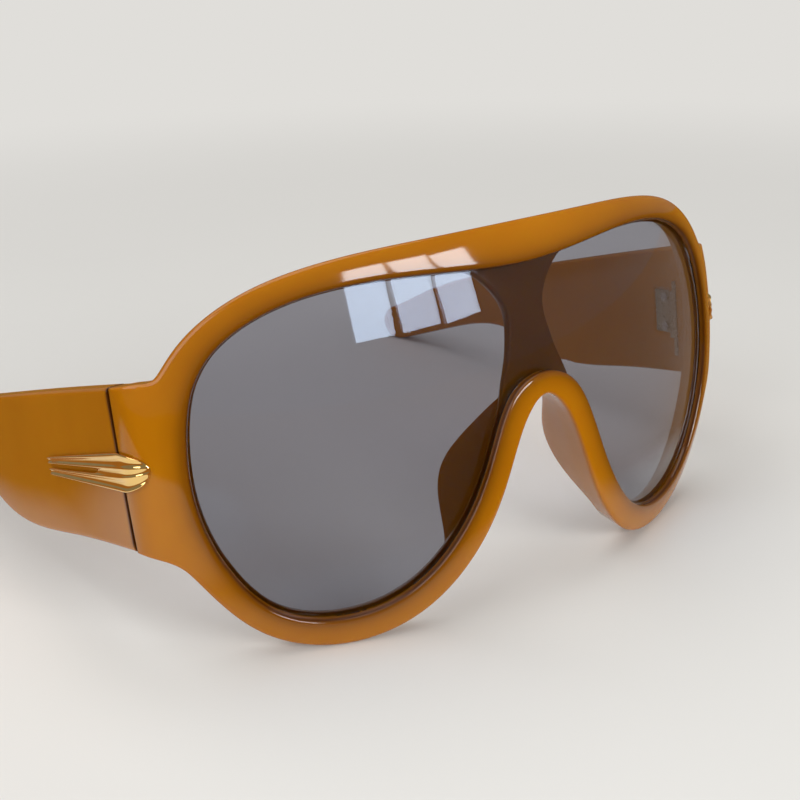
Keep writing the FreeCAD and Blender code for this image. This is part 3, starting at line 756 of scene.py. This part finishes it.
def add_nose_pads(bm, loops, sections, rows):
    """Draw the rim's rear edge back into a nose pad on each side of the arch."""
    station = bm.verts.layers.int["station"]
    depth_layer = bm.verts.layers.float["depth"]
    rear = smooth_through(PAD_EDGE, np.linspace(0, len(PAD_EDGE) - 1, PAD_LINE_STEPS)) * mm
    rear = rear[np.argsort(rear[:, 1])]
    count = len(sections)
    left = [i for i in range(count // 2 + 1) if PAD_START < sections[i].place < PAD_END]
    reach = {}
    for run in (left, [count - i for i in reversed(left)]):
        for i in run:
            vert = loops[rows[0]][i]
            rise = -sections[i].normal.y * sections[i].draft
            reach[i] = 0.0
            for _ in range(PAD_ROUNDS):
                z = vert.co.z + rise * reach[i]
                reach[i] = max(np.interp(z, rear[:, 1], rear[:, 0]) - vert.co.y, LEAST_PAD * mm)
        faces = strip(loops, rows, run)
        for _ in range(PAD_STEPS):
            faces, verts = drawn_out(bm, faces)
            for vert in verts:
                section = sections[vert[station]]
                step = reach[vert[station]] / PAD_STEPS
                sideways = section.normal * section.draft * step
                vert.co += Vector((-sideways.x, step, -sideways.y))
                vert[depth_layer] += step


def add_rear_bridge(bm, face, loops, rows):
    """Join the top bar and the nose arch behind the lens."""
    front = face.front
    depth_layer = bm.verts.layers.float["depth"]
    count = len(loops[0])
    ends = []
    reaches = []
    for centre in (0, count // 2):
        faces = strip(loops, rows, range(centre - BRIDGE_HALF, centre + BRIDGE_HALF + 1))
        outline = outline_edges(faces)
        reaches.append(max(abs(v.co.x) for e in outline for v in e.verts))
        ends += outline
        bmesh.ops.delete(bm, geom=faces, context="FACES")
    joined = bmesh.ops.bridge_loops(bm, edges=ends)
    across = [e for e in joined["edges"] if abs(e.verts[0].co.z - e.verts[1].co.z) > front.depth]
    cut = bmesh.ops.subdivide_edges(bm, edges=across, cuts=BRIDGE_CUTS, use_grid_fill=True)
    widths = np.array([(share * front.half_width, z * mm) for share, z in BRIDGE])
    for vert in set(only_verts(cut["geom_inner"])):
        z = vert.co.z
        even = np.interp(z, widths[[0, -1], 1], reaches[::-1])
        x = vert.co.x / even * np.interp(z, widths[:, 1], widths[:, 0])
        vert.co = face.point(face.spread(x, z).x, z, vert[depth_layer])


def make_front(context, material):
    """Front moulding with its rim, end pieces, nose pads and rear bridge."""
    face = FrontFace(context.scene.sunglasses_front)
    half = half_sections(face)
    sections = half + [mirrored_section(section) for section in half[-2:0:-1]]
    bm, loops = rim_ring(face, sections)
    count = len(loops)
    rear = count - REAR_POINTS - (MIDDLE_STEPS - 1) - len(ARC)
    add_nose_pads(bm, loops, sections, range(rear, rear + PAD_ROWS))
    add_rear_bridge(bm, face, loops, range(count - REAR_POINTS, count))
    keep_piece("front_moulding", bm, front_to_row(context), material, "front",
               ["front_frame"])


def make_hinge_seats(context, material):
    """Pads behind the end pieces that carry the hinges' front leaves."""
    front = context.scene.sunglasses_front
    temple = context.scene.sunglasses_temple
    size = Vector((temple.seat_width, temple.seat_depth, 2 * temple.seat_half))
    middle = Vector((SEAT_OVERLAP * mm - front.end_thickness - size.x / 2,
                     -temple.seat_setback - size.y / 2, temple.hinge_height))
    for side, mirror in SIDES:
        bm = bmesh.new()
        bmesh.ops.create_cube(bm, size=1.0)
        bmesh.ops.scale(bm, vec=size, verts=bm.verts)
        bmesh.ops.translate(bm, vec=middle, verts=bm.verts)
        bmesh.ops.bevel(bm, geom=bm.edges[:], offset=SEAT_ROUND * mm, segments=3, profile=0.5,
                        affect="EDGES", material=-1)
        keep_piece("hinge_seat_" + side, bm, temple_to_row(context), material, "front",
                   levels=0, mirror=mirror)


# Temples


def temple_tip(context):
    """Middle of the round tip in the temple's frame, with the tip on the floor."""
    temple = context.scene.sunglasses_temple
    run = temple.tip_setback - temple.straight
    x = math.sqrt(temple.curve ** 2 - run ** 2) - temple.curve - temple.thickness / 2
    place = temple_to_row(context)
    rise = (place.to_3x3() @ Vector((0, 0, 1))).z
    lowest = place @ Vector((x, temple.tip_setback, 0))
    return Vector((0, temple.tip_setback, (temple.tip_radius - lowest.z) / rise))


def temple_lines(context, root, tip):
    """Top and bottom edges of the temple, seen from the side."""
    front = context.scene.sunglasses_front
    lines = []
    for start, points, way in ((front.end_top, TEMPLE_TOP, 1), (front.end_bottom, TEMPLE_BOTTOM, -1)):
        line = [(root, start)] + [(y * mm, z * mm) for y, z in points]
        line.append((tip.y, tip.z + way * context.scene.sunglasses_temple.tip_radius))
        lines.append(smooth_through(line, np.linspace(0, len(line) - 1, LINE_STEPS)))
    return lines


def temple_grid(context, root, lip, recess):
    """Outer face of the temple laid flat, with two rows beside the recess for its hinge leaf."""
    temple = context.scene.sunglasses_temple
    tip = temple_tip(context)
    tops, bottoms = temple_lines(context, root, tip)
    body = np.linspace(temple.leaf_length, temple.tip_setback, BODY_COLUMNS)
    distances = [root, lip, 2 * lip - root, temple.leaf_length / 2] + list(body)
    leaf_rows = dict(zip(LEAF_ROWS, recess))
    half_rows = TEMPLE_ROWS / 2

    def across(row, half):
        if row in (0, TEMPLE_ROWS):
            return math.copysign(1.0, row - 1)
        return (row - half_rows) / (half_rows - 1) * (1 - EDGE_ROOM * temple.edge_round / half)

    def place(column, row):
        if column >= len(distances):
            share = (column - len(distances) + 1) / TIP_COLUMNS
            bent = math.asin(across(row, temple.tip_radius)) / (math.pi / 2)
            y, z = round_end(share, bent, temple.tip_radius, temple.tip_radius)
            return Vector((0, tip.y + y, tip.z + z))
        y = distances[column]
        high = np.interp(y, tops[:, 0], tops[:, 1])
        low = np.interp(y, bottoms[:, 0], bottoms[:, 1])
        z = (high + low) / 2 + (high - low) / 2 * across(row, (high - low) / 2)
        if y <= temple.leaf_length and row in leaf_rows:
            z = leaf_rows[row]
        return Vector((0, y, z))

    return mapped_grid(len(distances) - 1 + TIP_COLUMNS, TEMPLE_ROWS, place)


def round_temple(bm, temple, from_y):
    """Give the flat face its thickness, and round its long edges behind a distance."""
    grown = bmesh.ops.extrude_face_region(bm, geom=bm.faces[:])["geom"]
    bmesh.ops.translate(bm, vec=(-temple.thickness, 0, 0), verts=only_verts(grown))
    bmesh.ops.recalc_face_normals(bm, faces=bm.faces)
    edges = [e for e in bm.edges if max(v.co.y for v in e.verts) > from_y
             and sum(abs(f.normal.x) > FACING for f in e.link_faces) == 1]
    bmesh.ops.bevel(bm, geom=edges, offset=temple.edge_round, segments=3, profile=0.5,
                    affect="EDGES", material=-1, clamp_overlap=True)
    bm.normal_update()


def sink_recess(bm, temple, lip, recess):
    """Sink the recess for the hinge leaf into the temple's inner face."""
    faces = []
    for face in bm.faces:
        middle = face.calc_center_median()
        inside = lip < middle.y < temple.leaf_length and recess[0] < middle.z < recess[1]
        if face.normal.x < -FACING and inside:
            faces.append(face)
    crease(bm, outline_edges(faces))
    _, floor = drawn_out(bm, faces)
    bmesh.ops.translate(bm, vec=(temple.leaf_depth, 0, 0), verts=floor)
    crease(bm, {e for v in floor for e in v.link_edges})


def make_temple(context, side, mirror, material):
    """One temple: a broad blade that curves in and ends in a round tip."""
    temple = context.scene.sunglasses_temple
    root = context.scene.sunglasses_front.seam_gap / 2
    lip = root + SEAM_LIP * mm
    recess = (temple.hinge_height - temple.leaf_half, temple.hinge_height + temple.leaf_half)
    bm = temple_grid(context, root, lip, recess)
    round_temple(bm, temple, (root + lip) / 2)
    sink_recess(bm, temple, lip, recess)
    # Painted shade on the narrow strip of the temple beside the seam gap
    tone = bm.verts.layers.float["painted_shade_share"]
    for vert in bm.verts:
        vert[tone] = 1.0 if vert.co.y < lip + TOUCH * mm else 0.0
        run = max(vert.co.y - temple.straight, 0.0)
        vert.co.x = math.sqrt((temple.curve + vert.co.x) ** 2 - run ** 2) - temple.curve
    keep_piece("temple_blade_" + side, bm, temple_to_row(context), material,
               side + "_temple", ["temple_" + side], mirror=mirror)


# Gold plaques


def flute(row):
    """Side of a row across a plaque, its share of the half height and its relief."""
    step = row - len(FLUTES)
    return math.copysign(1.0, step), *FLUTES[step if step >= 0 else -step - 1]


def plaque_grid(trim):
    """Plaque laid flat, with a round head and a split, tapering tail. Its X holds the row."""
    distances = [0.0] + list(np.linspace(trim.tail - trim.split, trim.tail, TAIL_COLUMNS))

    def place(column, row):
        sign, share, _ = flute(row)
        if column < HEAD_COLUMNS:
            y, z = round_end(1 - column / HEAD_COLUMNS, sign * max(share, HEAD_SPLIT),
                             -trim.reach, trim.head_half)
            return Vector((row, y, z))
        y = distances[column - HEAD_COLUMNS]
        half = trim.head_half + (trim.tail_half - trim.head_half) * y / trim.tail
        return Vector((row, y, sign * (trim.split_half + (half - trim.split_half) * share)))

    bm = mapped_grid(HEAD_COLUMNS + len(distances) - 1, 2 * len(FLUTES) - 1, place)
    split = [f for f in bm.faces if f.calc_center_median().y > trim.tail - trim.split
             and abs(f.calc_center_median().z) < trim.split_half / 2]
    bmesh.ops.delete(bm, geom=split, context="FACES")
    return bm


def make_plaque(context, side, mirror, material):
    """One fluted plaque, laid round the bend of the end piece and over the temple."""
    trim = context.scene.sunglasses_trim
    face = FrontFace(context.scene.sunglasses_front)
    to_temple = face.seam_frame.inverted()
    bm = plaque_grid(trim)
    lower = set(only_verts(bmesh.ops.extrude_face_region(bm, geom=bm.faces[:])["geom"]))
    slope = Matrix.Rotation(trim.slope, 3, "X")
    for vert in bm.verts:
        ahead = min(max(-vert.co.y / trim.reach, 0.0), 1.0)
        fluted = flute(round(vert.co.x))[2]
        domed = 1.0 - HEAD_FALL * max(abs(vert.co.z) / trim.head_half, ahead) ** 2
        rise = fluted + (domed - fluted) * ahead ** 2
        height = trim.standoff if vert in lower else trim.standoff + trim.thickness * rise
        flat = slope @ Vector((0, vert.co.y, vert.co.z))
        x, y, angle = face.plan(face.seam + flat.y)
        outwards = Vector((math.sin(angle), -math.cos(angle), 0))
        planned = to_temple @ (Vector((x, y, 0)) + outwards * height)
        vert.co = Vector((planned.x, planned.y, flat.z + trim.height))
    keep_piece("plaque_" + side, bm, temple_to_row(context), material, "front",
               ["trim_plaque_" + side], mirror=mirror)


# Finishes


def start_material(name):
    """New material with its node tree and shader."""
    material = bpy.data.materials.new(name)
    material.use_nodes = True
    tree = material.node_tree
    return material, tree, tree.nodes["Principled BSDF"]


def fill_inputs(tree, node, inputs):
    """Set a node's inputs to values, or link them to outputs of other nodes."""
    for name, value in inputs.items():
        if isinstance(value, bpy.types.NodeSocket):
            tree.links.new(value, node.inputs[name])
        else:
            node.inputs[name].default_value = value


def add_node(tree, kind, inputs=None, output=0, **settings):
    """One output of a new node."""
    node = tree.nodes.new(kind)
    for name, value in settings.items():
        setattr(node, name, value)
    fill_inputs(tree, node, inputs or {})
    return node.outputs[output]


def opaque(tone):
    """Colour for a socket that also takes an alpha."""
    return (*tone, 1.0)


def place_on(tree):
    """Place on the object."""
    return add_node(tree, "ShaderNodeTexCoord", output="Object")


def noise(tree, scale):
    """Noise over the object."""
    return add_node(tree, "ShaderNodeTexNoise", {
        "Vector": place_on(tree), "Scale": scale, "Detail": NOISE_DETAIL})


def uneven(tree, scale, low=0.0, high=1.0):
    """Noise over the object, stretched to a range."""
    return add_node(tree, "ShaderNodeMapRange", {
        "Value": noise(tree, scale), "From Min": NOISE_RANGE[0], "From Max": NOISE_RANGE[1],
        "To Min": low, "To Max": high})


def mixed(tree, share, first, second):
    """Mix of two colours."""
    return add_node(tree, "ShaderNodeMix", {0: share, 6: first, 7: second}, 2, data_type="RGBA")


def mottled(tree, first, second, scale):
    """Two colours that run into each other over the object."""
    return mixed(tree, uneven(tree, scale), opaque(first), opaque(second))


def blended(tree, share, first, second):
    """Mix of two shaders."""
    return add_node(tree, "ShaderNodeMixShader", {0: share, 1: first, 2: second})


def worked_out(tree, operation, first, second, **settings):
    """Sum, product or the like of two values."""
    return add_node(tree, "ShaderNodeMath", {0: first, 1: second}, operation=operation, **settings)


def fine_bump(tree, scale, strength, distance):
    """Slight unevenness of the surface."""
    return add_node(tree, "ShaderNodeBump", {
        "Height": noise(tree, scale), "Strength": strength, "Distance": distance})


def amber_plastic(context, name):
    """Glossy translucent amber plastic, with painted shade beside the lens and in the seam gap."""
    finish = context.scene.sunglasses_finish
    material, tree, shader = start_material(name)
    # Share of painted shade beside the lens and at the seam, mixed in below as darker amber
    near = add_node(tree, "ShaderNodeAttribute", output="Fac", attribute_name="painted_shade_share")
    tone = mottled(tree, finish.amber, finish.amber_light, scale=40.0)
    fill_inputs(tree, shader, {
        "Base Color": mixed(tree, near, tone, opaque(finish.amber_painted_shade)),
        "Roughness": uneven(tree, scale=25.0, low=0.04, high=0.08),
        "Normal": fine_bump(tree, scale=90.0, strength=0.1, distance=0.2 * mm),
        "IOR": 1.47, "Specular IOR Level": 0.42, "Subsurface Weight": 0.4,
        "Subsurface Radius": (1.0, 0.5, 0.1), "Subsurface Scale": 3.0 * mm})
    return material


def tinted_lens(context):
    """Grey lens, a little denser at the bottom, with a slight mirror."""
    finish = context.scene.sunglasses_finish
    low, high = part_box("shield_lens")
    material, tree, shader = start_material("tinted_lens")
    height = add_node(tree, "ShaderNodeSeparateXYZ", {"Vector": place_on(tree)}, "Z")
    share = add_node(tree, "ShaderNodeMapRange", {
        "Value": height, "From Min": low.z, "From Max": high.z})
    fill_inputs(tree, shader, {
        "Base Color": mixed(tree, share, opaque(finish.lens_bottom), opaque(finish.lens_top)),
        "Roughness": uneven(tree, scale=60.0, low=0.01, high=0.025),
        "IOR": 1.5, "Specular IOR Level": 0.15, "Specular Tint": opaque(finish.lens_mirror),
        "Transmission Weight": 1.0})
    lamp_ray = add_node(tree, "ShaderNodeLightPath", output="Is Shadow Ray")
    clear = add_node(tree, "ShaderNodeBsdfTransparent", {"Color": opaque(finish.lens_top)})
    both = blended(tree, lamp_ray, shader.outputs["BSDF"], clear)
    fill_inputs(tree, tree.nodes["Material Output"], {"Surface": both})
    return material


def polished_metal(name, tone, roughness):
    """Polished metal with faint wear."""
    material, tree, shader = start_material(name)
    worn = tuple(value * WORN for value in tone)
    least, most = (roughness * share for share in WORN_ROUGHNESS)
    fill_inputs(tree, shader, {
        "Base Color": mottled(tree, tone, worn, scale=350.0),
        "Roughness": uneven(tree, scale=700.0, low=least, high=most),
        "Normal": fine_bump(tree, scale=1500.0, strength=0.04, distance=0.02 * mm),
        "Metallic": 1.0})
    return material


def dress_nodes(material, names):
    """Give CAD pieces a finish."""
    for name in names:
        frame["nodes"][name].material_slots[0].material = material


def dress_metal(context):
    """Finishes of the hinge leaves and screws."""
    finish = context.scene.sunglasses_finish
    nickel = polished_metal("hinge_nickel", finish.nickel, roughness=0.22)
    steel = polished_metal("screw_steel", finish.steel, roughness=0.18)
    for side, _ in SIDES:
        dress_nodes(nickel, [name + side for name in ("front_hinge_leaf_", "temple_hinge_leaf_")])
        dress_nodes(steel, [name + side for name in (
            "hinge_screw_", "front_leaf_screws_", "temple_leaf_screws_")])


# Stage


def soft_box(name, place, size, watts, tint=(1.0, 1.0, 1.0)):
    """Rectangular soft light at a place from the point that it faces."""
    light = bpy.data.lights.new(name, "AREA")
    light.shape = "RECTANGLE"
    light.size, light.size_y = size
    light.energy = watts
    light.color = tint
    lamp = new_object(name, light)
    lamp.visible_camera = False
    lamp.location = AIM + Vector(place)
    lamp.rotation_euler = (AIM - lamp.location).to_track_quat("-Z", "Y").to_euler()


def faded(tree, away, near, far, rays):
    """Share that grows with distance, for some rays."""
    fade = add_node(tree, "ShaderNodeMapRange", {"Value": away, "From Min": near, "From Max": far},
                    interpolation_type="SMOOTHSTEP")
    return worked_out(tree, "MULTIPLY", fade, rays)


def seen_rays(tree):
    """1 for rays from the camera and those that passed the lens, and 0 for others."""
    path = tree.nodes.new("ShaderNodeLightPath").outputs
    return worked_out(tree, "MAXIMUM", path["Is Camera Ray"], path["Is Transmission Ray"])


def mirror_rays(tree):
    """1 for mirrored rays, and 0 for others and for those that passed the lens."""
    path = tree.nodes.new("ShaderNodeLightPath").outputs
    return worked_out(tree, "SUBTRACT", path["Is Glossy Ray"], path["Is Transmission Ray"],
                      use_clamp=True)


def pale_floor(stage):
    """Pale matt floor, plain away from the object; in reflections away from the object and the temple it
    glows warm and dim, a painted reflection.
    """
    material, tree, shader = start_material("pale_floor")
    soft = tuple(value * FLOOR_FLECKS for value in stage.floor)
    fill_inputs(tree, shader, {
        "Base Color": mottled(tree, stage.floor, soft, scale=6.0), "Roughness": 0.7})
    place = place_on(tree)
    away = add_node(tree, "ShaderNodeVectorMath", {0: place}, "Value", operation="LENGTH")
    aside = add_node(tree, "ShaderNodeVectorMath", {0: place, 1: stage.bright_place}, "Value",
                     operation="DISTANCE")
    close = worked_out(tree, "MINIMUM", aside, away)
    plain = add_node(tree, "ShaderNodeEmission", {"Color": opaque(stage.floor)})
    # Painted reflection: warm dim glow, seen only in reflections away from the object and the temple
    dim = add_node(tree, "ShaderNodeEmission", {"Color": opaque(stage.dim)})
    seen = faded(tree, away, stage.floor_near, stage.floor_far, seen_rays(tree))
    mirrored = faded(tree, close, stage.bright_near, stage.bright_far, mirror_rays(tree))
    both = blended(tree, mirrored, blended(tree, seen, shader.outputs["BSDF"], plain), dim)
    fill_inputs(tree, tree.nodes["Material Output"], {"Surface": both})
    return material


def make_floor(stage):
    """Wide level floor."""
    bm = bmesh.new()
    bmesh.ops.create_circle(bm, cap_ends=True, segments=64, radius=stage.floor_reach)
    floor = mesh_object("floor", bm, pale_floor(stage))


def make_surroundings(scene, stage):
    """Plain pale background, with a dimmer soft light from all round."""
    world = bpy.data.worlds.new("surroundings")
    world.use_nodes = True
    scene.world = world
    tree = world.node_tree
    dim = tree.nodes["Background"]
    fill_inputs(tree, dim, {"Color": opaque(stage.floor), "Strength": stage.ambient})
    pale = add_node(tree, "ShaderNodeBackground", {"Color": opaque(stage.floor), "Strength": 1.0})
    both = blended(tree, seen_rays(tree), dim.outputs["Background"], pale)
    fill_inputs(tree, tree.nodes["World Output"], {"Surface": both})


def make_lights(stage):
    """Panes of light in front, and soft boxes overhead and at the side."""
    (x, y, z), size = FRONT_PANE
    for pane in range(PANES):
        place = (x + (pane - PANES // 2) * PANE_STEP, y, z)
        soft_box("window_%d" % pane, place, size, stage.pane_power, PANE_TINT)
    soft_box("overhead", *OVERHEAD, stage.top_power)
    soft_box("side", *SIDE_BOX, stage.fill_power)


def make_stage(context):
    """Camera, floor, soft lights and surroundings."""
    scene = context.scene
    stage = scene.sunglasses_stage
    scene.view_settings.view_transform = "Standard"
    camera = new_object("camera", bpy.data.cameras.new("camera"))
    camera.location = stage.camera_place
    camera.rotation_euler = stage.camera_turn
    camera.data.lens = stage.focal
    camera.data.clip_start = CLIP_START
    scene.camera = camera
    make_floor(stage)
    make_lights(stage)
    make_surroundings(scene, stage)


# Operators and panel


class SUNGLASSES_OT_stage(Operator):
    """Set up the camera, floor and soft lights"""

    bl_idname = "sunglasses.stage"
    bl_label = "Stage"

    def execute(self, context):
        make_stage(context)
        return {"FINISHED"}


class SUNGLASSES_OT_front(Operator):
    """Model the front moulding and its hinge seats"""

    bl_idname = "sunglasses.front"
    bl_label = "Front moulding"

    def execute(self, context):
        material = amber_plastic(context, "glossy_amber_front")
        make_front(context, material)
        make_hinge_seats(context, material)
        return {"FINISHED"}


class SUNGLASSES_OT_lens(Operator):
    """Tint the shield lens"""

    bl_idname = "sunglasses.lens"
    bl_label = "Shield lens"

    def execute(self, context):
        dress_nodes(tinted_lens(context), ["shield_lens"])
        return {"FINISHED"}


class SUNGLASSES_OT_temples(Operator):
    """Model both temples"""

    bl_idname = "sunglasses.temples"
    bl_label = "Temples"

    def execute(self, context):
        material = amber_plastic(context, "glossy_amber_temple")
        for side, mirror in SIDES:
            make_temple(context, side, mirror, material)
        return {"FINISHED"}


class SUNGLASSES_OT_plaques(Operator):
    """Model both gold plaques"""

    bl_idname = "sunglasses.plaques"
    bl_label = "Gold plaques"

    def execute(self, context):
        gold = polished_metal("polished_gold", context.scene.sunglasses_finish.gold, roughness=0.06)
        for side, mirror in SIDES:
            make_plaque(context, side, mirror, gold)
        return {"FINISHED"}


class SUNGLASSES_OT_hinges(Operator):
    """Finish the hinge leaves and screws"""

    bl_idname = "sunglasses.hinges"
    bl_label = "Hinges and screws"

    def execute(self, context):
        dress_metal(context)
        return {"FINISHED"}


OPERATORS = (
    SUNGLASSES_OT_stage, SUNGLASSES_OT_front, SUNGLASSES_OT_lens,
    SUNGLASSES_OT_temples, SUNGLASSES_OT_plaques, SUNGLASSES_OT_hinges,
)
SETTINGS = {
    "sunglasses_front": FrontSettings,
    "sunglasses_temple": TempleSettings,
    "sunglasses_trim": TrimSettings,
    "sunglasses_finish": FinishSettings,
    "sunglasses_stage": StageSettings,
}


class SUNGLASSES_PT_pieces(Panel):
    """Pieces of the sunglasses and their settings"""

    bl_idname = "SUNGLASSES_PT_pieces"
    bl_label = "Sunglasses"
    bl_space_type = "VIEW_3D"
    bl_region_type = "UI"
    bl_category = "Sunglasses"

    def draw(self, context):
        for operator in OPERATORS:
            self.layout.operator(operator.bl_idname)
        for name, group in SETTINGS.items():
            box = self.layout.box()
            for setting in group.__annotations__:
                box.prop(getattr(context.scene, name), setting)


CLASSES = (*SETTINGS.values(), *OPERATORS, SUNGLASSES_PT_pieces)


def register():
    for item in CLASSES:
        bpy.utils.register_class(item)
    for name, group in SETTINGS.items():
        setattr(bpy.types.Scene, name, PointerProperty(type=group))


def unregister():
    for name in SETTINGS:
        delattr(bpy.types.Scene, name)
    for item in reversed(CLASSES):
        bpy.utils.unregister_class(item)


def main():
    register()
    bpy.ops.sunglasses.stage()
    bpy.ops.sunglasses.front()
    bpy.ops.sunglasses.lens()
    bpy.ops.sunglasses.temples()
    bpy.ops.sunglasses.plaques()
    bpy.ops.sunglasses.hinges()


if __name__ == "__main__":
    main()
